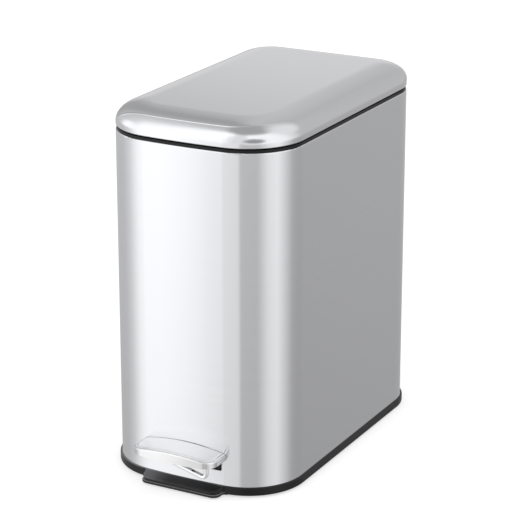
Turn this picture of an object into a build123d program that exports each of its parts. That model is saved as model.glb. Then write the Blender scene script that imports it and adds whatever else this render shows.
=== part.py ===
from build123d import *
from math import cos, radians, sin
import os

# Slim step trash can. Millimetres, +Z up, front (pedal) towards -Y, floor at Z = 0.
# Everything is drawn about the centre of the steel body and moved at the end, so that
# the origin is the middle of the whole can's footprint on the floor.

# Body tube
BODY_WIDTH = 170.0
BODY_DEPTH = 283.0              # at the middle of the bowed front
FRONT_BOW_RADIUS = 578.0
FRONT_RADIUS = 51.0
REAR_RADIUS = 41.0
STEEL_THICKNESS = 0.5
BODY_HEIGHT = 291.1             # steel that shows between base ring and rim ring
BODY_EDGE_TURN = 2.5            # steel turned in at the top
EDGE_ROUND = 1.0

# Base moulding
FOOT_STANDOFF = 1.5
RING_HEIGHT = 7.7
RING_PROUD = 1.9
RING_TOP_ROUND = 0.8
RING_BOTTOM_ROUND = 1.8
GROOVE_PLAY = 0.1
GROOVE_DEPTH = 4.0
FLOOR_THICKNESS = 2.5
UPSTAND_HEIGHT = 12.0
PLASTIC_WALL = 2.0
FOOT_RADIUS = 9.0
FOOT_RECESS = 1.0
FOOT_EDGE_DISTANCE = 26.0

# Toe plate
TOE_HALF_WIDTH = 37.0
TOE_REACH = 11.6                # in front of the steel
TOE_CORNER_RADIUS = 7.0
TOE_FRONT_DROP = 2.6
TOE_BLEND_RADIUS = 3.0
TOE_ROOT_SINK = 0.1
TOE_LIP_PROUD = 0.9
TOE_LIP_HEIGHT = 2.4
TOE_EDGE_BEVEL = 0.6
TOE_LIP_ROUND = 0.7

# Pedal slot in the steel
SLOT_HALF_WIDTH = 35.4
SLOT_BOTTOM = 21.8
SLOT_HEIGHT = 16.2
SLOT_CORNER_RADIUS = 1.5

# Rim ring
RIM_RING_HEIGHT = 2.5
RIM_RING_INSET = 0.7
RIM_RING_WALL_DEPTH = 12.7
RIM_LEDGE_THICKNESS = 2.0
RIM_LEDGE_DROP = 5.5            # bucket's ledge below the steel's top edge
RIM_NOTCH_FLOOR = 0.2           # plastic left over the steel's edge at the hinge
RIM_NOTCH_PLAY = 1.0
SNAP_BEAD_HEIGHT = 1.1
RING_PLAY = 0.3

# Lid
LID_GAP = 1.05                  # between rim ring and lid edge
LID_STRAIGHT = 3.15
LID_CROWN = 17.1
LID_ROUNDING = 30.0
LID_REAR_TIGHTENING = 5.5       # rear corners of the crown are this much tighter half way up
LID_EDGE_TURN = 1.8
LINER_INSET = 0.8
LINER_RIM_WIDTH = 4.2
LINER_DROP = 1.0
CRIMP_PLAY = 0.1
BUMPER_LENGTH = 10.0
BUMPER_WIDTH = 2.1
BUMPER_PLAY = 0.15
BUMPER_EDGE_MARGIN = 0.2
BUMPER_SIDE_PLACE = 20.0
BUMPER_FRONT_PLACE = 25.0

# Lid hinge
HINGE_SETBACK = 5.0             # axis behind the steel
HINGE_RISE = 2.3                # axis above the steel's top edge
HINGE_PIN_RADIUS = 2.0
HINGE_PLAY = 0.05
LUG_RADIUS = 4.5
LUG_WIDTH = 12.4
KNUCKLE_RADIUS = 4.1
BRACKET_WIDTH = 30.0
BRACKET_THICKNESS = 2.0
BRACKET_LENGTH = 34.5
KNUCKLE_SIDE_PLAY = 0.6
BLOCK_THICKNESS = 7.0
BLOCK_HEIGHT = 31.5
BLOCK_DROP = 3.2                # block's top below the steel's top edge
HINGE_SCREW_X = 20.0
HINGE_SCREW_RADIUS = 1.9
HINGE_SCREW_HEIGHTS = (273.0, 283.0)
BACKING_THICKNESS = 1.5
BACKING_MARGIN = 6.0            # round the screws
BACKING_TOP_MARGIN = 4.9        # above the upper screws, clear of the snap bead
BACKING_CORNER_RADIUS = 3.0
CAP_THICKNESS = 2.0
CAP_RADIUS = 3.9
LID_SWING = 72.0                # degrees

# Lift horn and push rod
HORN_RADIUS = 28.0
HORN_X = 6.4
HORN_THICKNESS = 1.6
HORN_MARGIN = 3.2
HORN_SLOT_PLAY = 1.25           # each side of the rod
ROD_RADIUS = 2.0
ROD_X = 1.5
ROD_BEND_RADIUS = 3.5
ROD_HOOK_END = 12.0
ROD_PLAY = 0.08
CLIP_RADIUS = 4.2
CLIP_THICKNESS = 1.2
CLIP_PLAY = 0.3
GUIDE_HEIGHT = 150.0
GUIDE_THICKNESS = 8.0
GUIDE_PLATE_HALF_WIDTH = 19.0
GUIDE_PLATE_THICKNESS = 2.0
GUIDE_PLATE_MARGIN = 4.0
GUIDE_PLATE_CORNER_RADIUS = 3.0
GUIDE_PLAY = 0.4
GUIDE_ROD_SHIFT = 0.8
GUIDE_RIVET_X = 14.0
RIVET_RADIUS = 2.0
RIVET_HEAD_RADIUS = 3.6
RIVET_HEAD_HEIGHT = 1.2

# Pedal lever
AXLE_SETBACK = 51.25            # behind the body's front face
AXLE_HEIGHT = 28.0
AXLE_RADIUS = 2.5
LEVER_HALF_WIDTH = 8.0
LEVER_THICKNESS = 1.6
LEVER_HEIGHT = 10.0
LEVER_TOP_ABOVE_AXLE = 5.8
LEVER_FRONT_SETBACK = 8.0       # where the flanges start behind the face
LEVER_REAR_SHORT = 11.8         # web ends this far before the rear pin
TONGUE_HALF_WIDTH = 15.0
TONGUE_REACH = 24.5
BUSH_RADIUS = 3.9
AXLE_PLAY = 0.05
POST_GAP = 0.6
POST_WIDTH = 12.0
POST_LENGTH = 24.0
CLAMP_HEIGHT = 6.5
CLAMP_SCREW_RADIUS = 1.5
CLAMP_SCREW_PLACE = 8.0
REST_SIZE = 12.0
REST_HEIGHT = 3.2

# Pedal
PEDAL_HALF_WIDTH = 39.75
PEDAL_REACH = 27.2              # in front of the steel
PEDAL_FRONT_BOW = 3.0
PEDAL_CORNER_RADIUS = 13.0
PEDAL_WALL_GAP = 0.6
PEDAL_TOP = 42.7
PEDAL_BOTTOM = 32.8
PEDAL_SIDE_DOME = 165.0
PEDAL_LONG_DOME = 120.0
PEDAL_CROWN_PLACE = 9.0         # crown in front of the steel
PEDAL_THICKNESS = 1.0
PEDAL_EDGE_ROUND = 1.2
CORE_PLAY = 0.15
PEDAL_SCREW_X = 9.0
PEDAL_SCREW_PLACE = 7.0
PEDAL_SCREW_LENGTH = 5.0

# Stop wire under the pedal
WIRE_RADIUS = 2.1
WIRE_PLACE = 14.0               # in front of the steel
WIRE_LEG_SETBACK = 10.75        # from the side of the pedal
WIRE_CORNER_HEIGHT = 19.5
WIRE_SLOPE = 0.272
WIRE_TAIL = 5.5
WIRE_BEND_RADIUS = 3.6
WIRE_LEG_TOP = 36.5

# Bucket
BUCKET_SIDE_GAP = 8.5           # opening in the rim ring from the steel's outside
BUCKET_REAR_GAP = 34.0
BUCKET_PLAY = 0.8
BUCKET_WALL = 1.8
BUCKET_BOTTOM = 56.0
BUCKET_DRAFT = 5.0
BUCKET_FOOT_BEVEL = 6.0
BUCKET_FLANGE_THICKNESS = 2.0
BUCKET_FLANGE_PLAY = 0.4
EAR_THICKNESS = 2.5
EAR_LENGTH = 12.0
EAR_HEIGHT = 5.1
EAR_INSET = 1.0
BAIL_RADIUS = 1.75
BAIL_PLAY = 0.06
BAIL_LIFT_OFF = 0.3
BAIL_EAR_GAP = 0.55
BAIL_END_PROUD = 0.4
BAIL_CORNER_RADIUS = 32.0
BAIL_FRONT_GAP = 9.0
GRIP_RADIUS = 4.5
GRIP_LENGTH = 64.0
GRIP_PLAY = 0.05

# Screw heads
HEAD_TO_SHANK = 1.85
HEAD_HEIGHT = 1.8
RECESS_WIDTH = 0.7
SCREW_PLAY = 0.05

# Places that follow from the sizes above
RING_TOP = FOOT_STANDOFF + RING_HEIGHT
BODY_TOP = RING_TOP + BODY_HEIGHT
GROOVE_FLOOR = RING_TOP - GROOVE_DEPTH
FLOOR_TOP = FOOT_STANDOFF + FLOOR_THICKNESS
RIM_TOP = BODY_TOP + RIM_RING_HEIGHT
LID_EDGE = RIM_TOP + LID_GAP
LID_SHOULDER = LID_EDGE + LID_STRAIGHT
FRONT_Y = -BODY_DEPTH / 2
REAR_Y = BODY_DEPTH / 2
HINGE_Y = REAR_Y + HINGE_SETBACK
HINGE_Z = BODY_TOP + HINGE_RISE
AXLE_Y = FRONT_Y + AXLE_SETBACK
HALF_SWING = radians(LID_SWING / 2)
ROD_Y = HINGE_Y - HORN_RADIUS * cos(HALF_SWING)
HORN_PIN_Z = HINGE_Z - HORN_RADIUS * sin(HALF_SWING)
LEVER_PIN_Z = AXLE_HEIGHT - HORN_RADIUS * sin(HALF_SWING)
LEVER_SLOPE = (LEVER_PIN_Z - AXLE_HEIGHT) / (ROD_Y - AXLE_Y)
RIM_WALL_INSET = STEEL_THICKNESS + BODY_EDGE_TURN + RING_PLAY
RIM_OPENING_INSET = RIM_WALL_INSET + PLASTIC_WALL
LEDGE_TOP = BODY_TOP - RIM_LEDGE_DROP
LEDGE_BOTTOM = LEDGE_TOP - RIM_LEDGE_THICKNESS
FLANGE_TOP = LEDGE_TOP + BUCKET_FLANGE_THICKNESS
BAIL_Z = FLANGE_TOP + BAIL_LIFT_OFF + BAIL_RADIUS
BUCKET_FLANGE_WIDTH = BUCKET_SIDE_GAP - RIM_OPENING_INSET - BUCKET_FLANGE_PLAY
BUCKET_FRONT = FRONT_Y + BUCKET_SIDE_GAP
BUCKET_REAR = REAR_Y - BUCKET_REAR_GAP
EAR_Y = (BUCKET_FRONT + BUCKET_REAR) / 2
EAR_OUTER_X = BODY_WIDTH / 2 - BUCKET_SIDE_GAP + BUCKET_FLANGE_WIDTH - EAR_INSET
BAIL_LEG_X = EAR_OUTER_X - EAR_THICKNESS - BAIL_EAR_GAP - BAIL_RADIUS
BAIL_CROSS_Y = BUCKET_FRONT + BAIL_FRONT_GAP
WIRE_LEG_X = PEDAL_HALF_WIDTH - WIRE_LEG_SETBACK
PLAN_SHIFT = (PEDAL_REACH - HINGE_SETBACK - LUG_RADIUS) / 2
BIG = 400.0


def bow_sag(x, radius=FRONT_BOW_RADIUS):
    """How far an arc has fallen back at this distance from its middle."""
    return radius - (radius ** 2 - x ** 2) ** 0.5


def rounded_plan(half_width, front, rear, front_radius, rear_radius, bow_radius, height):
    """Rounded rectangle in plan with a bowed front, as a face at the given height."""
    side_front = front + bow_sag(half_width, bow_radius)
    line = Polyline((-half_width, side_front), (-half_width, rear), (half_width, rear),
                    (half_width, side_front))
    line += ThreePointArc((half_width, side_front), (0, front), (-half_width, side_front))
    face = make_face(line)
    face = fillet(face.vertices().sort_by(Axis.Y)[:2], front_radius)
    corners = face.vertices().filter_by(lambda v: abs(v.Y - rear) < 1e-6)
    face = fillet(corners, rear_radius)
    return Pos(0, 0, height) * face


def body_plan(inset, height=0.0, rear_tightening=0.0):
    """The can's outline in plan, inset from the outside of the steel."""
    return rounded_plan(BODY_WIDTH / 2 - inset, FRONT_Y + inset, REAR_Y - inset, FRONT_RADIUS - inset,
                        REAR_RADIUS - inset - rear_tightening, FRONT_BOW_RADIUS - inset, height)


def slab(inset, low, high):
    return extrude(body_plan(inset, low), high - low, dir=(0, 0, 1))


def bucket_plan(inset, height=0.0):
    """The outline of the opening that the bucket hangs in, inset from that opening."""
    gap = BUCKET_SIDE_GAP + inset
    return rounded_plan(BODY_WIDTH / 2 - gap, FRONT_Y + gap, BUCKET_REAR - inset, FRONT_RADIUS - gap,
                        REAR_RADIUS - gap, FRONT_BOW_RADIUS - gap, height)


def bucket_slab(inset, low, high):
    return extrude(bucket_plan(inset, low), high - low, dir=(0, 0, 1))


def block(x0, x1, y0, y1, z0, z1):
    return Pos((x0 + x1) / 2, (y0 + y1) / 2, (z0 + z1) / 2) * Box(x1 - x0, y1 - y0, z1 - z0)


def rod_along(axis, start, radius, length):
    """Round bar from a start point along +X, +Y or +Z."""
    direction = {"X": (1, 0, 0), "Y": (0, 1, 0), "Z": (0, 0, 1)}[axis]
    return extrude(Plane(start, z_dir=direction) * Circle(radius), length, dir=direction)


def screw(axis, start, radius, length, turned=1):
    """Pan-head screw: the head ends at start, the shank runs from there along the axis."""
    direction = Vector({"X": (1, 0, 0), "Y": (0, 1, 0), "Z": (0, 0, 1)}[axis]) * turned
    plane = Plane(start, z_dir=direction)
    head_radius = radius * HEAD_TO_SHANK
    head = extrude(plane * Circle(head_radius), -HEAD_HEIGHT)
    rims = head.edges().filter_by(GeomType.CIRCLE).sort_by(lambda e: (e.center() - Vector(start)).length)
    head = fillet(rims[-1], HEAD_HEIGHT * 0.45)
    cross = Rectangle(head_radius, RECESS_WIDTH) + Rectangle(RECESS_WIDTH, head_radius)
    head -= extrude(plane.offset(-HEAD_HEIGHT) * cross, HEAD_HEIGHT / 2)
    return head + extrude(plane * Circle(radius), length)


def side_profile(points, x0, x1):
    """Prism from a closed outline of (y, z) points, from x0 to x1."""
    corners = [(x0, y, z) for y, z in points]
    return extrude(make_face(Polyline(*corners, close=True)), x1 - x0, dir=(1, 0, 0))


def make_body_shell():
    tube = slab(0, GROOVE_FLOOR, BODY_TOP)
    tube = fillet(tube.edges().group_by(Axis.Z)[-1], EDGE_ROUND)
    hollow = slab(STEEL_THICKNESS, GROOVE_FLOOR, BODY_TOP - STEEL_THICKNESS)
    hollow = fillet(hollow.edges().group_by(Axis.Z)[-1], EDGE_ROUND - STEEL_THICKNESS)
    tube -= hollow
    tube -= slab(STEEL_THICKNESS + BODY_EDGE_TURN, BODY_TOP - 2 * STEEL_THICKNESS, BODY_TOP + 1)
    slot_middle = SLOT_BOTTOM + SLOT_HEIGHT / 2
    slot_face = Plane((0, FRONT_Y - 1, slot_middle), x_dir=(1, 0, 0), z_dir=(0, -1, 0))
    slot_face *= RectangleRounded(2 * SLOT_HALF_WIDTH, SLOT_HEIGHT, SLOT_CORNER_RADIUS)
    tube -= extrude(slot_face, 2 + STEEL_THICKNESS + bow_sag(SLOT_HALF_WIDTH), dir=(0, 1, 0))
    for x in (-HINGE_SCREW_X, HINGE_SCREW_X):
        for z in HINGE_SCREW_HEIGHTS:
            tube -= rod_along("Y", (x, REAR_Y - 2, z), HINGE_SCREW_RADIUS + SCREW_PLAY, 4)
    for x in (-GUIDE_RIVET_X, GUIDE_RIVET_X):
        tube -= rod_along("Y", (x, REAR_Y - 2, GUIDE_HEIGHT), RIVET_RADIUS + SCREW_PLAY, 4)
    return tube


def toe_outline(grow):
    """Plan of the toe plate, flared where it leaves the ring."""
    half = TOE_HALF_WIDTH + grow
    root = half + 1.2 * TOE_BLEND_RADIUS
    front = FRONT_Y - TOE_REACH - grow
    back = FRONT_Y - RING_PROUD + bow_sag(root) + TOE_ROOT_SINK
    inside = back + RING_PROUD
    line = Polyline((-root, inside), (-root, back), (-half, back), (-half, front), (half, front), (half, back),
                    (root, back), (root, inside), close=True)
    face = make_face(line)
    roots = face.vertices().filter_by(lambda v: abs(v.Y - back) < 1e-6 and abs(v.X) < root - 1e-6)
    face = fillet(roots, TOE_BLEND_RADIUS)
    return fillet(face.vertices().sort_by(Axis.Y)[:2], TOE_CORNER_RADIUS)


def make_toe_plate():
    plate = extrude(Pos(0, 0, FOOT_STANDOFF) * toe_outline(0), RING_HEIGHT, dir=(0, 0, 1))
    back = FRONT_Y - RING_PROUD
    front = FRONT_Y - TOE_REACH
    slope = TOE_FRONT_DROP / (back - front)
    reach = 3 * TOE_LIP_PROUD
    plate -= side_profile([(back, RING_TOP), (front - reach, RING_TOP - TOE_FRONT_DROP - slope * reach),
                           (front - reach, RING_TOP + 1), (back, RING_TOP + 1)], -BIG / 4, BIG / 4)
    top = plate.faces().sort_by(lambda f: f.normal_at().Z * (f.center().Y < back))[-1]
    rim = top.edges().filter_by(lambda e: e.center().Y < back - TOE_BLEND_RADIUS / 2)
    plate = chamfer(rim, TOE_EDGE_BEVEL)
    lip = extrude(Pos(0, 0, FOOT_STANDOFF) * toe_outline(TOE_LIP_PROUD), TOE_LIP_HEIGHT, dir=(0, 0, 1))
    lip_edges = lip.edges().group_by(Axis.Z)
    lip = fillet((lip_edges[0] + lip_edges[-1]).filter_by(lambda e: e.center().Y < back - TOE_BLEND_RADIUS),
                 TOE_LIP_ROUND)
    return plate + lip


def foot_places():
    x = BODY_WIDTH / 2 - FOOT_EDGE_DISTANCE
    y = BODY_DEPTH / 2 - FOOT_EDGE_DISTANCE
    return [(sx * x, sy * y) for sx in (-1, 1) for sy in (-1, 1)]


def clamp_screw_places():
    x = LEVER_HALF_WIDTH + POST_GAP + POST_WIDTH / 2
    return [(sx * x, AXLE_Y + sy * CLAMP_SCREW_PLACE) for sx in (-1, 1) for sy in (-1, 1)]


def post_block(side, low, high):
    inner = LEVER_HALF_WIDTH + POST_GAP
    x0, x1 = sorted((side * inner, side * (inner + POST_WIDTH)))
    return block(x0, x1, AXLE_Y - POST_LENGTH / 2, AXLE_Y + POST_LENGTH / 2, low, high)


def make_base():
    ring = slab(-RING_PROUD, FOOT_STANDOFF, RING_TOP)
    ring = fillet(ring.edges().group_by(Axis.Z)[-1], RING_TOP_ROUND)
    ring = fillet(ring.edges().group_by(Axis.Z)[0], RING_BOTTOM_ROUND)
    base = ring + make_toe_plate()
    base -= slab(-GROOVE_PLAY, GROOVE_FLOOR, RING_TOP + 1)
    upstand_inset = STEEL_THICKNESS + 4 * GROOVE_PLAY
    base += slab(upstand_inset, FOOT_STANDOFF, RING_TOP + UPSTAND_HEIGHT - GROOVE_DEPTH)
    base -= slab(upstand_inset + PLASTIC_WALL, FLOOR_TOP, BODY_TOP)
    for side in (-1, 1):
        base += post_block(side, FOOT_STANDOFF + 1, AXLE_HEIGHT)
    base -= rod_along("X", (-BIG / 4, AXLE_Y, AXLE_HEIGHT), AXLE_RADIUS + AXLE_PLAY, BIG / 2)
    for x, y in clamp_screw_places():
        base -= rod_along("Z", (x, y, FLOOR_TOP + 4), CLAMP_SCREW_RADIUS + SCREW_PLAY, AXLE_HEIGHT)
    for x, y in foot_places():
        base -= rod_along("Z", (x, y, 0), FOOT_RADIUS, FOOT_STANDOFF + FOOT_RECESS)
    return base


def make_rubber_feet():
    feet = []
    for x, y in foot_places():
        foot = rod_along("Z", (x, y, 0), FOOT_RADIUS - SCREW_PLAY, FOOT_STANDOFF + FOOT_RECESS)
        feet.append(fillet(foot.edges().group_by(Axis.Z)[0], FOOT_STANDOFF / 2))
    return Compound(feet)


def make_rim_ring():
    under = BODY_TOP - RIM_RING_WALL_DEPTH
    ring = slab(RIM_RING_INSET, BODY_TOP, RIM_TOP)
    ring = fillet(ring.edges().group_by(Axis.Z)[-1], RIM_RING_INSET / 2)
    ring += slab(RIM_WALL_INSET, under, BODY_TOP)
    bead_top = BODY_TOP - STEEL_THICKNESS - RING_PLAY
    ring += slab(RIM_WALL_INSET - 3 * RING_PLAY, bead_top - SNAP_BEAD_HEIGHT, bead_top)
    ring -= slab(RIM_OPENING_INSET, LEDGE_TOP, RIM_TOP + 1)
    ring -= slab(RIM_OPENING_INSET, under - 1, LEDGE_BOTTOM)
    ring -= bucket_slab(0, under - 1, RIM_TOP)
    notch = BRACKET_WIDTH / 2 + RIM_NOTCH_PLAY
    notch_front = BUCKET_REAR + PLASTIC_WALL
    ring -= block(-notch, notch, notch_front, REAR_Y - RIM_OPENING_INSET, LEDGE_BOTTOM - 1, RIM_TOP + 1)
    ring -= block(-notch, notch, notch_front, REAR_Y + 1, BODY_TOP + RIM_NOTCH_FLOOR, RIM_TOP + 1)
    return ring


def pillow(inset, drop, low):
    """The lid's pillow form: straight sides from low, then a quarter ellipse in to the flat top."""
    rounding = LID_ROUNDING - inset
    crown = LID_CROWN - drop
    steps = 8
    angles = [radians(90 * i / steps) for i in range(steps + 1)]
    sections = [body_plan(inset + rounding * (1 - cos(a)), LID_SHOULDER + crown * sin(a),
                          LID_REAR_TIGHTENING * sin(2 * a)) for a in angles]
    return slab(inset, low, LID_SHOULDER) + loft(sections)


def make_lid_shell():
    outside = pillow(0, 0, LID_EDGE)
    outside = fillet(outside.edges().group_by(Axis.Z)[0], EDGE_ROUND)
    inside = pillow(STEEL_THICKNESS, STEEL_THICKNESS, LID_EDGE + STEEL_THICKNESS)
    inside = fillet(inside.edges().group_by(Axis.Z)[0], EDGE_ROUND - STEEL_THICKNESS)
    shell = outside - inside
    return shell - slab(STEEL_THICKNESS + LID_EDGE_TURN, LID_EDGE - 1, LID_EDGE + 2 * STEEL_THICKNESS)


def bracket_screw_places():
    rows = (BRACKET_LENGTH * 0.82, BRACKET_LENGTH * 0.43)
    return [(x, HINGE_Y - row) for x in (-BRACKET_WIDTH * 0.38, BRACKET_WIDTH * 0.39) for row in rows]


def make_lid_liner():
    low = LID_EDGE + STEEL_THICKNESS + CRIMP_PLAY
    liner = pillow(LINER_INSET, LINER_DROP, low)
    cavity = pillow(LINER_INSET + LINER_RIM_WIDTH, LINER_DROP + PLASTIC_WALL, low - 1)
    boss_low = HINGE_Z + BRACKET_THICKNESS / 2
    for x, y in bracket_screw_places():
        cavity -= rod_along("Z", (x, y, boss_low), 2 * PLASTIC_WALL, BIG)
    liner -= cavity
    for x, y in bracket_screw_places():
        liner -= rod_along("Z", (x, y, boss_low - 1), CLAMP_SCREW_RADIUS - SCREW_PLAY * 2, 8)
    return liner


def bumper_places():
    depth = LINER_INSET + LINER_RIM_WIDTH - BUMPER_WIDTH / 2 - BUMPER_EDGE_MARGIN
    front_y = FRONT_Y + depth + bow_sag(BUMPER_FRONT_PLACE)
    front = [(side * BUMPER_FRONT_PLACE, front_y, 0) for side in (-1, 1)]
    sides = [(side * (BODY_WIDTH / 2 - depth), BUMPER_SIDE_PLACE, 90) for side in (-1, 1)]
    return front + sides


def make_lid_bumpers():
    low = RIM_TOP + BUMPER_PLAY
    high = LID_EDGE + STEEL_THICKNESS + CRIMP_PLAY
    pads = []
    for x, y, turn in bumper_places():
        pad = extrude(Pos(x, y, low) * Rot(0, 0, turn) * SlotOverall(BUMPER_LENGTH, BUMPER_WIDTH), high - low)
        pads.append(pad)
    return Compound(pads)


def horn_slot():
    """Slot that the rod's hook slides in while the horn swings past it."""
    lever_length = (ROD_Y - AXLE_Y) / cos(abs(LEVER_SLOPE))
    rod_shift = lever_length - (ROD_Y - AXLE_Y)
    nearest = HINGE_Y - ROD_Y - rod_shift
    width = 2 * (ROD_RADIUS + HORN_SLOT_PLAY)
    length = HORN_RADIUS - nearest + 2 * (ROD_RADIUS + HORN_SLOT_PLAY)
    middle = (HORN_RADIUS + nearest) / 2
    return width, length, middle


def make_lid_bracket():
    strap_low = HINGE_Z - BRACKET_THICKNESS / 2
    half = BRACKET_WIDTH / 2 - KNUCKLE_SIDE_PLAY / 2
    strap = block(-half, half, HINGE_Y - BRACKET_LENGTH, HINGE_Y, strap_low, strap_low + BRACKET_THICKNESS)
    strap += rod_along("X", (-half, HINGE_Y, HINGE_Z), KNUCKLE_RADIUS, 2 * half)
    width, length, middle = horn_slot()
    turn = -LID_SWING / 2
    hinge_plane = Plane((HORN_X, HINGE_Y, HINGE_Z), x_dir=(0, -1, 0), z_dir=(1, 0, 0))
    slot_plane = hinge_plane * Rot(0, 0, -turn) * Pos(middle, 0)
    eye = slot_plane * SlotOverall(length + 2 * HORN_MARGIN, width + 2 * HORN_MARGIN)
    horn = extrude(eye, HORN_THICKNESS, dir=(1, 0, 0))
    web = [(HINGE_Y - BRACKET_LENGTH + 2, strap_low), (ROD_Y - 4, HORN_PIN_Z), (ROD_Y + 2, HORN_PIN_Z),
           (HINGE_Y - 10, strap_low)]
    horn += side_profile(web, HORN_X, HORN_X + HORN_THICKNESS)
    horn -= block(-BIG / 4, BIG / 4, 0, BIG, strap_low + BRACKET_THICKNESS / 2, BIG)
    bracket = strap + horn
    bracket -= extrude(slot_plane * SlotOverall(length, width), 2 * HORN_THICKNESS, dir=(1, 0, 0), both=True)
    bracket -= rod_along("X", (-BIG / 4, HINGE_Y, HINGE_Z), HINGE_PIN_RADIUS + HINGE_PLAY, BIG / 2)
    for x, y in bracket_screw_places():
        bracket -= rod_along("Z", (x, y, strap_low - 1), CLAMP_SCREW_RADIUS, 4)
    return bracket


def make_bracket_screws():
    low = HINGE_Z - BRACKET_THICKNESS / 2
    radius = CLAMP_SCREW_RADIUS - 3 * SCREW_PLAY
    return Compound([screw("Z", (x, y, low), radius, 8) for x, y in bracket_screw_places()])


def make_hinge_block():
    half = BRACKET_WIDTH / 2 + LUG_WIDTH
    top = BODY_TOP - BLOCK_DROP
    body = block(-half, half, REAR_Y, REAR_Y + BLOCK_THICKNESS, top - BLOCK_HEIGHT, top)
    body = fillet(body.edges().filter_by(Axis.Y), 4)
    for side in (-1, 1):
        x0, x1 = sorted((side * BRACKET_WIDTH / 2, side * half))
        body += block(x0, x1, HINGE_Y - LUG_RADIUS, HINGE_Y + LUG_RADIUS, top - 12, HINGE_Z)
        body += rod_along("X", (x0, HINGE_Y, HINGE_Z), LUG_RADIUS, x1 - x0)
    body -= rod_along("X", (-BIG / 4, HINGE_Y, HINGE_Z), HINGE_PIN_RADIUS + HINGE_PLAY / 2, BIG / 2)
    for x in (-HINGE_SCREW_X, HINGE_SCREW_X):
        for z in HINGE_SCREW_HEIGHTS:
            body -= rod_along("Y", (x, REAR_Y - 1, z), HINGE_SCREW_RADIUS + SCREW_PLAY, BLOCK_THICKNESS - 0.4)
    return body


def make_hinge_backing_plate():
    half = HINGE_SCREW_X + BACKING_MARGIN
    outside = REAR_Y - STEEL_THICKNESS
    low = min(HINGE_SCREW_HEIGHTS) - BACKING_MARGIN
    high = max(HINGE_SCREW_HEIGHTS) + BACKING_TOP_MARGIN
    plate = block(-half, half, outside - BACKING_THICKNESS, outside, low, high)
    plate = fillet(plate.edges().filter_by(Axis.Y), BACKING_CORNER_RADIUS)
    for x in (-HINGE_SCREW_X, HINGE_SCREW_X):
        for z in HINGE_SCREW_HEIGHTS:
            plate -= rod_along("Y", (x, outside - 4, z), HINGE_SCREW_RADIUS + SCREW_PLAY, 8)
    return plate


def make_hinge_screws():
    start = REAR_Y - STEEL_THICKNESS - BACKING_THICKNESS
    length = REAR_Y + BLOCK_THICKNESS - 2 - start
    return Compound([screw("Y", (x, start, z), HINGE_SCREW_RADIUS, length)
                     for x in (-HINGE_SCREW_X, HINGE_SCREW_X) for z in HINGE_SCREW_HEIGHTS])


def make_hinge_pin():
    half = BRACKET_WIDTH / 2 + LUG_WIDTH + CAP_THICKNESS - 0.5
    pin = rod_along("X", (-half, HINGE_Y, HINGE_Z), HINGE_PIN_RADIUS, 2 * half)
    return chamfer(pin.edges().filter_by(GeomType.CIRCLE), 0.4)


def make_hinge_pin_caps():
    caps = []
    reach = BRACKET_WIDTH / 2 + LUG_WIDTH
    for side in (-1, 1):
        low, high = sorted((side * reach, side * (reach + CAP_THICKNESS)))
        cap = rod_along("X", (low, HINGE_Y, HINGE_Z), CAP_RADIUS, high - low)
        outer = cap.edges().filter_by(GeomType.CIRCLE).sort_by(lambda e: side * e.center().X)[-1]
        cap = fillet(outer, CAP_THICKNESS * 0.6)
        low, high = sorted((side * (reach - 1), side * (reach + CAP_THICKNESS - 0.45)))
        cap -= rod_along("X", (low, HINGE_Y, HINGE_Z), HINGE_PIN_RADIUS + HINGE_PLAY, high - low)
        caps.append(cap)
    return Compound(caps)


def make_push_rod():
    points = [(ROD_HOOK_END, ROD_Y, LEVER_PIN_Z), (ROD_X, ROD_Y, LEVER_PIN_Z), (ROD_X, ROD_Y, HORN_PIN_Z),
              (ROD_HOOK_END, ROD_Y, HORN_PIN_Z)]
    path = FilletPolyline(*points, radius=ROD_BEND_RADIUS)
    return sweep(Plane(points[0], z_dir=(-1, 0, 0)) * Circle(ROD_RADIUS), path)


def make_rod_clips():
    clips = []
    for z in (LEVER_PIN_Z, HORN_PIN_Z):
        start = (HORN_X + HORN_THICKNESS + CLIP_PLAY, ROD_Y, z)
        clip = rod_along("X", start, CLIP_RADIUS, CLIP_THICKNESS)
        clip -= rod_along("X", start, ROD_RADIUS + ROD_PLAY / 2, CLIP_THICKNESS)
        clips.append(clip)
    return Compound(clips)


def make_rod_guide():
    wall = REAR_Y - STEEL_THICKNESS
    low = GUIDE_HEIGHT - GUIDE_THICKNESS / 2
    high = GUIDE_HEIGHT + GUIDE_THICKNESS / 2
    plate = block(-GUIDE_PLATE_HALF_WIDTH, GUIDE_PLATE_HALF_WIDTH, wall - GUIDE_PLATE_THICKNESS, wall,
                  low - GUIDE_PLATE_MARGIN, high + GUIDE_PLATE_MARGIN)
    plate = fillet(plate.edges().filter_by(Axis.Y), GUIDE_PLATE_CORNER_RADIUS)
    opening = ROD_RADIUS + GUIDE_PLAY
    cheek = opening + PLASTIC_WALL
    guide = plate + block(ROD_X - cheek, ROD_X + cheek, ROD_Y - cheek, wall, low, high)
    guide -= block(ROD_X - opening, ROD_X + opening, ROD_Y - opening, ROD_Y + opening + GUIDE_ROD_SHIFT,
                   low - 1, high + 1)
    mouth = ROD_RADIUS * 0.85
    guide -= block(ROD_X - mouth, ROD_X + mouth, ROD_Y - cheek - 1, ROD_Y, low - 1, high + 1)
    for x in (-GUIDE_RIVET_X, GUIDE_RIVET_X):
        guide -= rod_along("Y", (x, wall - 8, GUIDE_HEIGHT), RIVET_RADIUS + SCREW_PLAY, 16)
    return guide


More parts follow.
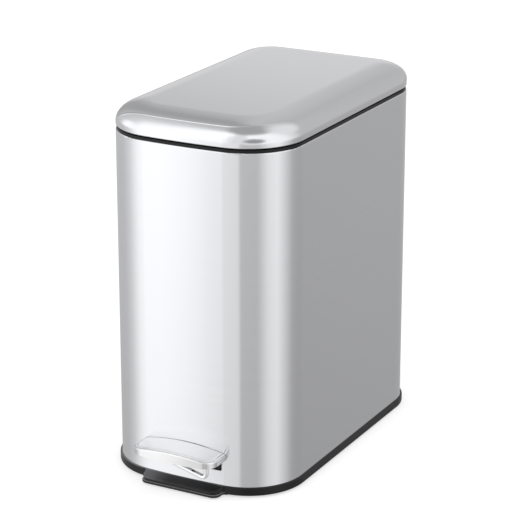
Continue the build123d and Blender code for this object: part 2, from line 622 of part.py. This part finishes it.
def make_guide_rivets():
    inside = REAR_Y - STEEL_THICKNESS - GUIDE_PLATE_THICKNESS
    rivets = []
    for x in (-GUIDE_RIVET_X, GUIDE_RIVET_X):
        rivet = rod_along("Y", (x, inside - RIVET_HEAD_HEIGHT, GUIDE_HEIGHT), RIVET_RADIUS,
                          REAR_Y - inside + 2 * RIVET_HEAD_HEIGHT)
        for start in (inside - RIVET_HEAD_HEIGHT, REAR_Y):
            rivet += rod_along("Y", (x, start, GUIDE_HEIGHT), RIVET_HEAD_RADIUS, RIVET_HEAD_HEIGHT)
        ends = rivet.edges().filter_by(GeomType.CIRCLE).sort_by(Axis.Y)
        rivet = fillet([ends[0], ends[-1]], RIVET_HEAD_HEIGHT * 0.6)
        rivets.append(rivet)
    return Compound(rivets)


def lever_line(y):
    """Height of the lever's centre line behind the axle."""
    return AXLE_HEIGHT + LEVER_SLOPE * (y - AXLE_Y)


def make_pedal_lever():
    top = AXLE_HEIGHT + LEVER_TOP_ABOVE_AXLE
    front = FRONT_Y + LEVER_FRONT_SETBACK
    knee = AXLE_Y + 8
    rear = ROD_Y - LEVER_REAR_SHORT
    drop = LEVER_HEIGHT / 2
    top_line = [(front, top), (knee, top), (rear, lever_line(rear) + drop)]
    under_line = [(rear, lever_line(rear) - drop), (knee, lever_line(knee) - drop - 0.6),
                  (AXLE_Y - 8, AXLE_HEIGHT - drop - 0.6), (front, top - 2 * LEVER_THICKNESS)]
    lever = side_profile(top_line + under_line, -LEVER_HALF_WIDTH, LEVER_HALF_WIDTH)
    inner = LEVER_HALF_WIDTH - LEVER_THICKNESS
    hollow_top = [(front - 1, top - LEVER_THICKNESS), (knee - 0.1, top - LEVER_THICKNESS),
                  (rear + 1, lever_line(rear + 1) + drop - LEVER_THICKNESS)]
    lever -= side_profile(hollow_top + [(rear + 1, 0), (front - 1, 0)], -inner, inner)
    ear_x = HORN_X
    ear = side_profile([(rear - 1, lever_line(rear) + drop), (ROD_Y, lever_line(ROD_Y) + drop),
                        (ROD_Y, lever_line(ROD_Y) - drop), (rear - 1, lever_line(rear) - drop)],
                       ear_x, ear_x + LEVER_THICKNESS)
    ear += rod_along("X", (ear_x, ROD_Y, LEVER_PIN_Z), drop, LEVER_THICKNESS)
    lever += ear
    tongue = block(-TONGUE_HALF_WIDTH, TONGUE_HALF_WIDTH, FRONT_Y - TONGUE_REACH, front + 1,
                   top - LEVER_THICKNESS, top)
    tongue = fillet(tongue.edges().filter_by(Axis.Z), 4)
    lever += tongue
    lever -= rod_along("X", (-BIG / 4, AXLE_Y, AXLE_HEIGHT), AXLE_RADIUS + 2 * AXLE_PLAY, BIG / 2)
    lever -= rod_along("X", (0, ROD_Y, LEVER_PIN_Z), ROD_RADIUS + ROD_PLAY, BIG / 4)
    for x in (-PEDAL_SCREW_X, PEDAL_SCREW_X):
        lever -= rod_along("Z", (x, FRONT_Y - PEDAL_SCREW_PLACE, 0), CLAMP_SCREW_RADIUS, BIG)
    return lever


def make_lever_bush():
    inner = LEVER_HALF_WIDTH - LEVER_THICKNESS - AXLE_PLAY
    bush = rod_along("X", (-inner, AXLE_Y, AXLE_HEIGHT), BUSH_RADIUS, 2 * inner)
    return bush - rod_along("X", (-inner, AXLE_Y, AXLE_HEIGHT), AXLE_RADIUS + AXLE_PLAY, 2 * inner)


def make_lever_axle():
    half = LEVER_HALF_WIDTH + POST_GAP + POST_WIDTH
    axle = rod_along("X", (-half, AXLE_Y, AXLE_HEIGHT), AXLE_RADIUS, 2 * half)
    return chamfer(axle.edges().filter_by(GeomType.CIRCLE), 0.5)


def make_axle_clamps():
    clamps = []
    for side in (-1, 1):
        clamp = post_block(side, AXLE_HEIGHT, AXLE_HEIGHT + CLAMP_HEIGHT)
        clamp = fillet(clamp.edges().filter_by(Axis.Z), 2)
        clamp -= rod_along("X", (-BIG / 4, AXLE_Y, AXLE_HEIGHT), AXLE_RADIUS + AXLE_PLAY, BIG / 2)
        clamps.append(clamp)
    clamps = Compound(clamps)
    for x, y in clamp_screw_places():
        clamps -= rod_along("Z", (x, y, 0), CLAMP_SCREW_RADIUS + SCREW_PLAY, BIG)
    return clamps


def make_clamp_screws():
    start = AXLE_HEIGHT + CLAMP_HEIGHT
    return Compound([screw("Z", (x, y, start), CLAMP_SCREW_RADIUS, start - FLOOR_TOP - 6, turned=-1)
                     for x, y in clamp_screw_places()])


def make_lever_rest():
    rear = ROD_Y - LEVER_REAR_SHORT
    pad = block(-LEVER_HALF_WIDTH, LEVER_HALF_WIDTH, rear - REST_SIZE, rear, FLOOR_TOP, FLOOR_TOP + REST_HEIGHT)
    return fillet(pad.edges().filter_by(Axis.Z), 2)


def pedal_plan(inset):
    """Bowed front, rounded front corners, and a back that follows the body."""
    half = PEDAL_HALF_WIDTH - inset
    back = FRONT_Y - PEDAL_WALL_GAP
    back_side = back + bow_sag(half, FRONT_BOW_RADIUS + PEDAL_WALL_GAP)
    front = FRONT_Y - PEDAL_REACH + inset
    corner = front + PEDAL_FRONT_BOW
    line = Line((-half, corner), (-half, back_side))
    line += ThreePointArc((-half, back_side), (0, back), (half, back_side))
    line += Line((half, back_side), (half, corner))
    line += ThreePointArc((half, corner), (0, front), (-half, corner))
    face = make_face(line)
    return fillet(face.vertices().sort_by(Axis.Y)[:2], PEDAL_CORNER_RADIUS - inset)


def pedal_dome(inset):
    """Doubly curved crown: an arc across the pedal, turned about an axis along X."""
    crown_y = FRONT_Y - PEDAL_CROWN_PLACE
    low = PEDAL_TOP - PEDAL_LONG_DOME
    half = PEDAL_HALF_WIDTH
    top = PEDAL_TOP - inset
    side_top = top - bow_sag(half, PEDAL_SIDE_DOME)
    line = Polyline((-half, crown_y, side_top), (-half, crown_y, low + 20), (half, crown_y, low + 20),
                    (half, crown_y, side_top))
    line += ThreePointArc((half, crown_y, side_top), (0, crown_y, top), (-half, crown_y, side_top))
    return revolve(make_face(line), Axis((0, crown_y, low), (1, 0, 0)))


def make_pedal_pad():
    outside = extrude(Pos(0, 0, PEDAL_BOTTOM) * pedal_plan(0), PEDAL_TOP) & pedal_dome(0)
    back = FRONT_Y - PEDAL_WALL_GAP
    rim = outside.faces().sort_by(Axis.Z)[-1].edges().filter_by(lambda e: e.center().Y < back - 0.1)
    outside = fillet(rim, PEDAL_EDGE_ROUND)
    inside = extrude(Pos(0, 0, PEDAL_BOTTOM - 1) * pedal_plan(PEDAL_THICKNESS), PEDAL_TOP)
    inside &= pedal_dome(PEDAL_THICKNESS)
    half = PEDAL_HALF_WIDTH - PEDAL_THICKNESS
    behind = block(-half, half, back - 1, back + 1 + bow_sag(half), PEDAL_BOTTOM - 1, PEDAL_TOP)
    behind &= Pos(0, 2, 0) * pedal_dome(PEDAL_THICKNESS)
    return outside - inside - behind


def wire_points():
    tongue_under = AXLE_HEIGHT + LEVER_TOP_ABOVE_AXLE - LEVER_THICKNESS
    flat_z = tongue_under - WIRE_RADIUS - SCREW_PLAY
    flat_x = WIRE_LEG_X - (flat_z - WIRE_CORNER_HEIGHT) / WIRE_SLOPE
    y = FRONT_Y - WIRE_PLACE
    return [(WIRE_LEG_X, y, WIRE_LEG_TOP), (WIRE_LEG_X, y, WIRE_CORNER_HEIGHT), (flat_x, y, flat_z),
            (flat_x - WIRE_TAIL, y, flat_z)]


def make_pedal_core():
    low = AXLE_HEIGHT + LEVER_TOP_ABOVE_AXLE
    inset = PEDAL_THICKNESS + CORE_PLAY
    core = extrude(Pos(0, 0, low) * pedal_plan(inset), PEDAL_TOP) & pedal_dome(inset)
    x, y, top = wire_points()[0]
    core -= rod_along("Z", (x, y, 0), WIRE_RADIUS + SCREW_PLAY, top + SCREW_PLAY)
    for x in (-PEDAL_SCREW_X, PEDAL_SCREW_X):
        core -= rod_along("Z", (x, FRONT_Y - PEDAL_SCREW_PLACE, 0), CLAMP_SCREW_RADIUS - 2 * SCREW_PLAY,
                          low + PEDAL_SCREW_LENGTH)
    return core


def make_pedal_screws():
    low = AXLE_HEIGHT + LEVER_TOP_ABOVE_AXLE - LEVER_THICKNESS
    radius = CLAMP_SCREW_RADIUS - 3 * SCREW_PLAY
    return Compound([screw("Z", (x, FRONT_Y - PEDAL_SCREW_PLACE, low), radius, PEDAL_SCREW_LENGTH)
                     for x in (-PEDAL_SCREW_X, PEDAL_SCREW_X)])


def make_pedal_stop_wire():
    points = wire_points()
    path = FilletPolyline(*points, radius=WIRE_BEND_RADIUS)
    return sweep(Plane(points[0], z_dir=(0, 0, -1)) * Circle(WIRE_RADIUS), path)


def make_bucket():
    wall_top = LEDGE_TOP + BUCKET_FLANGE_THICKNESS
    levels = [(BUCKET_PLAY, wall_top), (BUCKET_PLAY + BUCKET_DRAFT, BUCKET_BOTTOM + BUCKET_FOOT_BEVEL),
              (BUCKET_PLAY + BUCKET_DRAFT + BUCKET_FOOT_BEVEL, BUCKET_BOTTOM)]
    outside = loft([bucket_plan(inset, z) for inset, z in levels], ruled=True)
    outside += bucket_slab(-BUCKET_FLANGE_WIDTH, LEDGE_TOP, wall_top)
    inside_levels = [(inset + BUCKET_WALL, z + BUCKET_WALL) for inset, z in levels]
    bucket = outside - loft([bucket_plan(inset, z) for inset, z in inside_levels], ruled=True)
    for side in (-1, 1):
        x0, x1 = sorted((side * (EAR_OUTER_X - EAR_THICKNESS), side * EAR_OUTER_X))
        ear = block(x0, x1, EAR_Y - EAR_LENGTH / 2, EAR_Y + EAR_LENGTH / 2, wall_top - 0.5,
                    wall_top + EAR_HEIGHT)
        ear = fillet(ear.edges().filter_by(Axis.X).group_by(Axis.Z)[-1], 2.5)
        bucket += ear
        bucket -= rod_along("X", (x0 - 1, EAR_Y, BAIL_Z), BAIL_RADIUS + BAIL_PLAY, EAR_THICKNESS + 2)
    return bucket


def make_bucket_bail():
    end_x = EAR_OUTER_X + BAIL_END_PROUD
    points = [(-end_x, EAR_Y, BAIL_Z), (-BAIL_LEG_X, EAR_Y, BAIL_Z), (-BAIL_LEG_X, BAIL_CROSS_Y, BAIL_Z),
              (BAIL_LEG_X, BAIL_CROSS_Y, BAIL_Z), (BAIL_LEG_X, EAR_Y, BAIL_Z), (end_x, EAR_Y, BAIL_Z)]
    small = BAIL_RADIUS * 1.2
    path = FilletPolyline(*points, radius=[small, BAIL_CORNER_RADIUS, BAIL_CORNER_RADIUS, small])
    return sweep(Plane(points[0], z_dir=(1, 0, 0)) * Circle(BAIL_RADIUS), path)


def make_bail_grip():
    start = (-GRIP_LENGTH / 2, BAIL_CROSS_Y, BAIL_Z)
    grip = rod_along("X", start, GRIP_RADIUS, GRIP_LENGTH)
    grip = fillet(grip.edges().filter_by(GeomType.CIRCLE), 1.5)
    return grip - rod_along("X", start, BAIL_RADIUS + GRIP_PLAY, GRIP_LENGTH)


PIECES = {
    "body_shell": make_body_shell,
    "base": make_base,
    "rubber_feet": make_rubber_feet,
    "rim_ring": make_rim_ring,
    "lid_shell": make_lid_shell,
    "lid_liner": make_lid_liner,
    "lid_bumpers": make_lid_bumpers,
    "lid_bracket": make_lid_bracket,
    "bracket_screws": make_bracket_screws,
    "hinge_block": make_hinge_block,
    "hinge_backing_plate": make_hinge_backing_plate,
    "hinge_screws": make_hinge_screws,
    "hinge_pin": make_hinge_pin,
    "hinge_pin_caps": make_hinge_pin_caps,
    "push_rod": make_push_rod,
    "rod_clips": make_rod_clips,
    "rod_guide": make_rod_guide,
    "guide_rivets": make_guide_rivets,
    "pedal_lever": make_pedal_lever,
    "lever_bush": make_lever_bush,
    "lever_axle": make_lever_axle,
    "axle_clamps": make_axle_clamps,
    "clamp_screws": make_clamp_screws,
    "lever_rest": make_lever_rest,
    "pedal_pad": make_pedal_pad,
    "pedal_core": make_pedal_core,
    "pedal_screws": make_pedal_screws,
    "pedal_stop_wire": make_pedal_stop_wire,
    "bucket": make_bucket,
    "bucket_bail": make_bucket_bail,
    "bail_grip": make_bail_grip,
}

os.makedirs("parts", exist_ok=True)
for name, make in PIECES.items():
    export_step(Pos(0, PLAN_SHIFT, 0) * make(), f"parts/{name}.step")
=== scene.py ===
from math import cos, pi, radians, sin

import bpy
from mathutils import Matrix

WHITE = (1, 1, 1, 1)

# Camera at the photograph's viewing angle, in metres, degrees and millimetres of lens
CAMERA_PLACE = (0.854135, -1.587543, 0.776132)
CAMERA_AZIMUTH = 28.218
CAMERA_ELEVATION = 18.778
CAMERA_LENS = 149.663
CAMERA_SENSOR = 36.0
CAMERA_REACH = 50.0

# Floor
FLOOR_SIZE = 12.0
FLOOR_ALBEDO = 0.62
FLOOR_GLOW = 0.62

# Studio light by direction: azimuth in degrees and how bright steel shows it, as a 0 to 255 tone.
# Both bands and the spots are fitted to the tones that the steel has in the photograph, each
# taken at the direction that the place mirrors, then adjusted over several renders and thinned.
# The low band lights the upright walls: bright ahead on the left, a hard-edged fill ahead on
# the right, a softer one at the right, and duller light behind.
STEEL_REFLECTANCE = 0.80
LOW_BAND = [
    (-180, 172), (-90, 188), (-72, 209), (-56, 242), (-42, 263), (-35, 266), (-27, 254), (-22, 231),
    (9, 226), (13, 188), (45, 188), (66, 228), (84, 238), (118, 170), (135, 162), (180, 170),
]
# The high band lights the lid's rolled edges and top
HIGH_BAND = [
    (-180, 176), (-155, 187), (-138, 156), (-128, 158), (-108, 192), (-75, 214), (-48, 254), (-36, 262),
    (-22, 256), (-10, 230), (0, 218), (18, 220), (30, 250), (85, 244), (102, 236), (140, 184), (180, 177),
]
BAND_BLEND = (-0.14, 0.02)      # heights on the unit sphere between which low gives way to high
DIMMING_BLEND = (-0.55, -0.22)  # heights over which the low band brightens from the floor up
FLOOR_DIMMING = 0.72
ZENITH_TONE = 158
ZENITH_BLEND = (0.86, 0.97)
# Soft-edged lamps and shades above the horizon: azimuth, elevation, tone, full radius, edge radius
SPOTS = [(-152, 5, 203, 0, 15), (-72, 10, 254, 8, 26), (140, 50, 220, 8, 30), (38, 20, 146, 10, 25)]

# Faint forms of the lid's sheet, in metres: crown, and a pressed crease round the front
LID_CROWNING = 0.09             # fall per square metre of distance from the middle
CREASE_CENTRE = (0.034, -0.0817)
CREASE_BOW = 0.578
CREASE_RADIUS = 0.0413
CREASE_LEFT_TURN = 0.5
CREASE_WIDTH = 0.0011
CREASE_HEIGHT = 0.00032
CREASE_FADE = (0.050, 0.075)

# The pedal's rolled edge, in metres
PEDAL_CORNER_CENTRE = (0.0268, -0.1468)
PEDAL_BOW = 0.265
BEAD_RADIUS = 0.0098
BEAD_WIDTH = 0.0011
BEAD_HEIGHT = 0.0003

# Painted sheen on the base, a lighter colour standing in for reflected light and a lit edge: places in
# metres, shares of the full sheen, and the slope where it starts
SHEEN_LEFT = (-0.036, -0.008)
SHEEN_MIDDLE = 0.17
SHEEN_RIGHT = (0.0, 0.030)
SHEEN_END = 0.2
SHEEN_SLOPE = (0.1, 0.7)
TOE_LIP_TOP = 0.0044
TOE_LIP_BLUR = 0.0004

# Heights of the fine textures' bumps, in metres
GRAIN_BUMP = 0.00005
PLATE_BUMP = 0.0001
PEBBLE_BUMP = 0.00004
WEAR_SCALE = 60.0               # patches per metre

# Base colours
STEEL = (0.792, 0.796, 0.817)
PEDAL_STEEL = (0.83, 0.83, 0.837)
ZINC = (0.62, 0.63, 0.645)
CHROME = (0.93, 0.935, 0.94)
SCREW_ZINC = (0.60, 0.60, 0.59)
BLACK = (0.009, 0.009, 0.010)
BASE_BLACK = (0.008, 0.008, 0.009)
# Painted sheen: a lighter black for the base's upward faces, standing in for reflected light and a lit
# edge
PAINTED_SHEEN_BLACK = (0.165, 0.165, 0.17)
BUCKET_GREY = (0.075, 0.075, 0.08)
RUBBER = (0.022, 0.022, 0.022)


def plug(tree, socket, value):
    """Link a socket to another one, or set its own value."""
    if isinstance(value, bpy.types.NodeSocket):
        tree.links.new(value, socket)
    else:
        socket.default_value = value


class Nodes:
    """A short way to write a node tree."""

    def __init__(self, tree):
        self.tree = tree
        tree.nodes.clear()

    def add(self, kind, **sockets):
        node = self.tree.nodes.new(kind)
        for name, value in sockets.items():
            self.put(node, name.replace("_", " "), value)
        return node

    def put(self, node, name, value):
        plug(self.tree, node.inputs[int(name)] if name.isdigit() else node.inputs[name], value)

    def math(self, operation, a, b=0.0):
        node = self.tree.nodes.new("ShaderNodeMath")
        node.operation = operation
        self.put(node, "0", a)
        self.put(node, "1", b)
        return node.outputs[0]

    def spread(self, value, low, high, to_low=0.0, to_high=1.0):
        """A smooth step from one number to another as value goes from low to high."""
        node = self.tree.nodes.new("ShaderNodeMapRange")
        node.interpolation_type = "SMOOTHSTEP"
        for name, number in (("Value", value), ("From Min", low), ("From Max", high),
                             ("To Min", to_low), ("To Max", to_high)):
            self.put(node, name, number)
        return node.outputs["Result"]

    def ramp(self, value, stops):
        """A grey scale of light by position, given as (position, light) stops."""
        node = self.tree.nodes.new("ShaderNodeValToRGB")
        self.put(node, "Fac", value)
        ramp = node.color_ramp
        while len(ramp.elements) < len(stops):
            ramp.elements.new(0.5)
        for element, (place, light) in zip(ramp.elements, stops):
            element.position = place
            element.color = (light, light, light, 1)
        return node.outputs["Color"]

    def mix(self, factor, a, b):
        """Colour a, giving way to colour b as factor goes from 0 to 1."""
        node = self.tree.nodes.new("ShaderNodeMix")
        node.data_type = "RGBA"
        plug(self.tree, node.inputs["Factor"], factor)
        plug(self.tree, node.inputs[6], a)
        plug(self.tree, node.inputs[7], b)
        return node.outputs[2]


def tone(value):
    """Light that renders as this 0 to 255 picture tone on a white surface."""
    share = value / 255
    if share <= 0.04045:
        return share / 12.92
    return ((share + 0.055) / 1.055) ** 2.4


def light(value):
    """Light that steel shows as this picture tone."""
    return tone(value) / STEEL_REFLECTANCE


def grey(value):
    return (light(value),) * 3 + (1,)


def towards(azimuth, elevation):
    """Unit vector of a compass direction in degrees, where azimuth 0 is the front and 90 is +X."""
    across, up = radians(azimuth), radians(elevation)
    return sin(across) * cos(up), -cos(across) * cos(up), sin(up)


def band(n, share, stops):
    """Light all round, from (azimuth, tone) stops; share goes from 0 to 1 over the full turn."""
    return n.ramp(share, [(azimuth / 360 + 0.5, light(value)) for azimuth, value in stops])


def make_world():
    world = bpy.data.worlds.new("studio")
    bpy.context.scene.world = world
    world.use_nodes = True
    n = Nodes(world.node_tree)
    direction = n.add("ShaderNodeTexCoord").outputs["Generated"]
    x, y, z = n.add("ShaderNodeSeparateXYZ", Vector=direction).outputs
    turn = n.math("ARCTAN2", x, n.math("MULTIPLY", y, -1.0))
    share = n.math("ADD", n.math("DIVIDE", turn, 2 * pi), 0.5)
    low = n.add("ShaderNodeVectorMath", **{"0": band(n, share, LOW_BAND)})
    low.operation = "SCALE"
    n.put(low, "Scale", n.spread(z, *DIMMING_BLEND, FLOOR_DIMMING, 1.0))
    high = band(n, share, HIGH_BAND)
    high = n.mix(n.spread(z, *ZENITH_BLEND), high, grey(ZENITH_TONE))
    for azimuth, elevation, value, full, edge in SPOTS:
        facing = n.add("ShaderNodeVectorMath", **{"0": direction, "1": towards(azimuth, elevation)})
        facing.operation = "DOT_PRODUCT"
        near = n.spread(facing.outputs["Value"], cos(radians(edge)), cos(radians(full)))
        high = n.mix(near, high, grey(value))
    studio = n.mix(n.spread(z, *BAND_BLEND), low.outputs[0], high)
    seen = n.add("ShaderNodeLightPath").outputs["Is Camera Ray"]
    background = n.add("ShaderNodeBackground", Color=n.mix(seen, studio, WHITE))
    n.add("ShaderNodeOutputWorld", Surface=background.outputs[0])


def make_floor():
    """A white floor that takes the can's shadow and stays out of the steel's reflections."""
    mesh = bpy.data.meshes.new("floor")
    half = FLOOR_SIZE / 2
    corners = [(-half, -half, 0), (half, -half, 0), (half, half, 0), (-half, half, 0)]
    mesh.from_pydata(corners, [], [(0, 1, 2, 3)])
    floor = bpy.data.objects.new("floor", mesh)
    bpy.context.scene.collection.objects.link(floor)
    material = bpy.data.materials.new("floor")
    material.use_nodes = True
    n = Nodes(material.node_tree)
    white = n.add("ShaderNodeBsdfDiffuse", Color=(FLOOR_ALBEDO,) * 3 + (1,))
    path = n.add("ShaderNodeLightPath")
    glow = n.add("ShaderNodeEmission", Color=WHITE)
    n.put(glow, "Strength", n.math("MULTIPLY", path.outputs["Is Camera Ray"], FLOOR_GLOW))
    both = n.add("ShaderNodeAddShader", **{"0": white.outputs[0], "1": glow.outputs[0]})
    clear = n.add("ShaderNodeBsdfTransparent")
    shown = n.add("ShaderNodeMixShader", **{
        "0": path.outputs["Is Glossy Ray"], "1": both.outputs[0], "2": clear.outputs[0]})
    n.add("ShaderNodeOutputMaterial", Surface=shown.outputs[0])
    mesh.materials.append(material)


def make_camera():
    data = bpy.data.cameras.new("camera")
    data.lens = CAMERA_LENS
    data.sensor_width = CAMERA_SENSOR
    data.clip_end = CAMERA_REACH
    camera = bpy.data.objects.new("camera", data)
    bpy.context.scene.collection.objects.link(camera)
    camera.location = CAMERA_PLACE
    camera.rotation_euler = (radians(90 - CAMERA_ELEVATION), 0, radians(CAMERA_AZIMUTH))
    bpy.context.scene.camera = camera


def new_material(name):
    material = bpy.data.materials.new(name)
    material.use_nodes = True
    n = Nodes(material.node_tree)
    shader = n.add("ShaderNodeBsdfPrincipled")
    n.add("ShaderNodeOutputMaterial", Surface=shader.outputs[0])
    return material, n, shader


def stretched(n, scale):
    """Object coordinates in metres, times a scale for each axis."""
    place = n.add("ShaderNodeTexCoord").outputs["Object"]
    return n.add("ShaderNodeMapping", Vector=place, Scale=scale).outputs["Vector"]


def noise(n, vector, detail):
    return n.add("ShaderNodeTexNoise", Vector=vector, Scale=1.0, Detail=detail).outputs["Fac"]


def shades(colour, dark, pale):
    """Two shades of a colour, as opaque colour values."""
    return [tuple(channel * factor for channel in colour) + (1,) for factor in (dark, pale)]


def bump(n, height, strength, distance, over=None):
    node = n.add("ShaderNodeBump", Height=height, Strength=strength, Distance=distance)
    if over:
        n.put(node, "Normal", over)
    return node.outputs["Normal"]


def plan_radius(n, centre, bow_radius, left_share=1.0):
    """Distance in plan from the front corners' centres, along a bowed front and straight sides.

    The left corner turns by only left_share as much as the right one.
    """
    place = n.add("ShaderNodeTexCoord").outputs["Object"]
    x, y, _ = n.add("ShaderNodeSeparateXYZ", Vector=place).outputs
    bowed = n.math("SUBTRACT", y, n.math("DIVIDE", n.math("MULTIPLY", x, x), 2 * bow_radius))
    right = n.math("MAXIMUM", n.math("SUBTRACT", x, centre[0]), 0.0)
    left = n.math("MULTIPLY", n.math("ADD", x, centre[0]), -left_share)
    aside = n.math("MAXIMUM", right, left)
    ahead = n.math("MINIMUM", n.math("SUBTRACT", bowed, centre[1]), 0.0)
    squares = n.math("ADD", n.math("MULTIPLY", aside, aside), n.math("MULTIPLY", ahead, ahead))
    return n.math("SQRT", squares)


def ridge(n, radius, place, width, height):
    """A soft ridge of this height where the radius is place."""
    off = n.math("ABSOLUTE", n.math("SUBTRACT", radius, place))
    return n.spread(off, 0.0, width, height, 0.0)


def lid_form(n):
    """Height in metres of the lid's faint lengthwise crown and of the pressed crease round its front."""
    place = n.add("ShaderNodeTexCoord").outputs["Object"]
    x, y, _ = n.add("ShaderNodeSeparateXYZ", Vector=place).outputs
    crown = n.math("MULTIPLY", n.math("MULTIPLY", y, y), -LID_CROWNING)
    radius = plan_radius(n, CREASE_CENTRE, CREASE_BOW, CREASE_LEFT_TURN)
    crease = ridge(n, radius, CREASE_RADIUS, CREASE_WIDTH, CREASE_HEIGHT)
    fade = n.spread(x, *CREASE_FADE, 1.0, 0.0)
    return n.math("ADD", crown, n.math("MULTIPLY", crease, fade))


def pedal_form(n):
    """Height in metres of the pedal's rolled bead and the groove outside it."""
    radius = plan_radius(n, PEDAL_CORNER_CENTRE, PEDAL_BOW)
    bead = ridge(n, radius, BEAD_RADIUS, BEAD_WIDTH, BEAD_HEIGHT)
    groove = ridge(n, radius, BEAD_RADIUS + BEAD_WIDTH, BEAD_WIDTH, BEAD_HEIGHT)
    return n.math("SUBTRACT", bead, groove)


def painted_sheen_share(n):
    """Share of painted sheen on the base's upward faces, a painted reflection and highlight: most at the
    toe plate's left end and on its lip.
    """
    coordinates = n.add("ShaderNodeTexCoord").outputs
    x, _, z = n.add("ShaderNodeSeparateXYZ", Vector=coordinates["Object"]).outputs
    upward = n.add("ShaderNodeSeparateXYZ", Vector=coordinates["Normal"]).outputs[2]
    left = n.spread(x, *SHEEN_LEFT, 1.0, SHEEN_MIDDLE)
    across = n.math("MULTIPLY", left, n.spread(x, *SHEEN_RIGHT, 1.0, SHEEN_END))
    lip = n.spread(z, TOE_LIP_TOP - TOE_LIP_BLUR, TOE_LIP_TOP + TOE_LIP_BLUR, 1.0, 0.0)
    return n.math("MULTIPLY", n.math("MAXIMUM", across, lip), n.spread(upward, *SHEEN_SLOPE))


def brushed(name, colour, roughness, fine, broad, tangent_axis, turn=0.0, stretch=0.55, depth=0.05,
            form=None):
    """Brushed steel: fine and broad are the grain's scale per metre along each axis."""
    material, n, shader = new_material(name)
    grain = noise(n, stretched(n, fine), 3.0)
    streak = noise(n, stretched(n, broad), 2.0)
    both = n.math("ADD", n.math("MULTIPLY", grain, 0.5), n.math("MULTIPLY", streak, 0.5))
    tangent = n.tree.nodes.new("ShaderNodeTangent")
    tangent.direction_type = "RADIAL"
    tangent.axis = tangent_axis
    shape = bump(n, form(n), 1.0, 1.0) if form else None
    n.put(shader, "Metallic", 1.0)
    n.put(shader, "Anisotropic", stretch)
    n.put(shader, "Anisotropic Rotation", turn)
    n.put(shader, "Base Color", n.mix(both, *shades(colour, 0.965, 1.035)))
    n.put(shader, "Roughness", n.spread(both, 0.2, 0.8, roughness * 0.88, roughness * 1.12))
    n.put(shader, "Tangent", tangent.outputs[0])
    n.put(shader, "Normal", bump(n, grain, depth, GRAIN_BUMP, shape))
    return material


def plated(name, colour, roughness, mottle):
    """Zinc or chrome plate: a faint cloudiness in colour and gloss."""
    material, n, shader = new_material(name)
    cloud = noise(n, stretched(n, (mottle,) * 3), 4.0)
    n.put(shader, "Metallic", 1.0)
    n.put(shader, "Base Color", n.mix(cloud, *shades(colour, 0.9, 1.06)))
    n.put(shader, "Roughness", n.spread(cloud, 0.25, 0.75, roughness * 0.75, roughness * 1.25))
    n.put(shader, "Normal", bump(n, cloud, 0.05, PLATE_BUMP))
    return material


def moulded(name, colour, roughness, grain=9000.0, depth=0.12, specular=0.5, sheen_colour=None):
    """Moulded plastic or rubber with a fine texture; the optional last colour is a painted sheen, a
    lighter colour standing in for reflected light on the upward faces.
    """
    material, n, shader = new_material(name)
    pebble = noise(n, stretched(n, (grain,) * 3), 2.0)
    wear = noise(n, stretched(n, (WEAR_SCALE,) * 3), 3.0)
    shade = n.mix(wear, *shades(colour, 0.85, 1.2))
    if sheen_colour:
        # Painted sheen: a lighter colour on upward faces where the base would catch reflected light
        shade = n.mix(painted_sheen_share(n), shade, sheen_colour + (1,))
    n.put(shader, "Base Color", shade)
    n.put(shader, "Roughness", n.spread(wear, 0.25, 0.75, roughness * 0.9, roughness * 1.1))
    n.put(shader, "Specular IOR Level", specular)
    n.put(shader, "Normal", bump(n, pebble, depth, PEBBLE_BUMP))
    return material


def dress(material, *nodes):
    """Give CAD nodes this material in all their slots."""
    for name in nodes:
        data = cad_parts[name].data
        if not data.materials:
            data.materials.append(material)
        for place in range(len(data.materials)):
            data.materials[place] = material


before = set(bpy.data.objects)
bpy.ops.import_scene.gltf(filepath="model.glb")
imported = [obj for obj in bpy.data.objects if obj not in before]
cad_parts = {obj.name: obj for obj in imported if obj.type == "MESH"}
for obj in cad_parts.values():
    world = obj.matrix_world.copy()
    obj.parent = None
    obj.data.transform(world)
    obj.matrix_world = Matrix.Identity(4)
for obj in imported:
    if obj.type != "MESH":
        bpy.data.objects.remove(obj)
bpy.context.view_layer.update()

make_world()
make_floor()
make_camera()

body_steel = brushed("body_steel", STEEL, 0.20, (14, 14, 5200), (2.5, 2.5, 420), "Z",
                     turn=0.25, stretch=0.85)
lid_steel = brushed("lid_steel", STEEL, 0.15, (5200, 14, 14), (420, 2.5, 2.5), "Y", form=lid_form)
pedal_steel = brushed("pedal_steel", PEDAL_STEEL, 0.17, (16, 5200, 5200), (4, 500, 500), "Y",
                      depth=0.03, form=pedal_form)
zinc = plated("zinc_plate", ZINC, 0.34, 260.0)
chrome = plated("chrome_plate", CHROME, 0.12, 90.0)
screw_zinc = plated("screw_plate", SCREW_ZINC, 0.28, 400.0)
black = moulded("black_plastic", BLACK, 0.36, specular=0.28)
# The base carries the painted sheen, a painted reflection and highlight, on its upward faces
base_black = moulded("base_plastic", BASE_BLACK, 0.34, depth=0.06, specular=0.3, sheen_colour=PAINTED_SHEEN_BLACK)
bucket_grey = moulded("bucket_plastic", BUCKET_GREY, 0.5, grain=5000.0, depth=0.2)
rubber = moulded("rubber", RUBBER, 0.8, grain=3500.0, depth=0.3, specular=0.3)

dress(body_steel, "body_shell")
dress(lid_steel, "lid_shell")
dress(pedal_steel, "pedal_pad")
dress(zinc, "lid_bracket", "hinge_backing_plate", "hinge_pin", "push_rod", "rod_clips", "pedal_lever",
      "lever_axle")
dress(chrome, "pedal_stop_wire", "bucket_bail")
dress(screw_zinc, "bracket_screws", "hinge_screws", "clamp_screws", "pedal_screws", "guide_rivets")
dress(base_black, "base")
dress(black, "rim_ring", "lid_liner", "hinge_block", "hinge_pin_caps", "rod_guide", "lever_bush",
      "axle_clamps", "pedal_core", "bail_grip")
dress(bucket_grey, "bucket")
dress(rubber, "rubber_feet", "lid_bumpers", "lever_rest")

# The steel over the toe plate and behind the pedal is clean of dark streaks in the photograph
for unreflected in ("base", "pedal_core"):
    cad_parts[unreflected].visible_glossy = False

bpy.context.scene.view_settings.view_transform = "Standard"
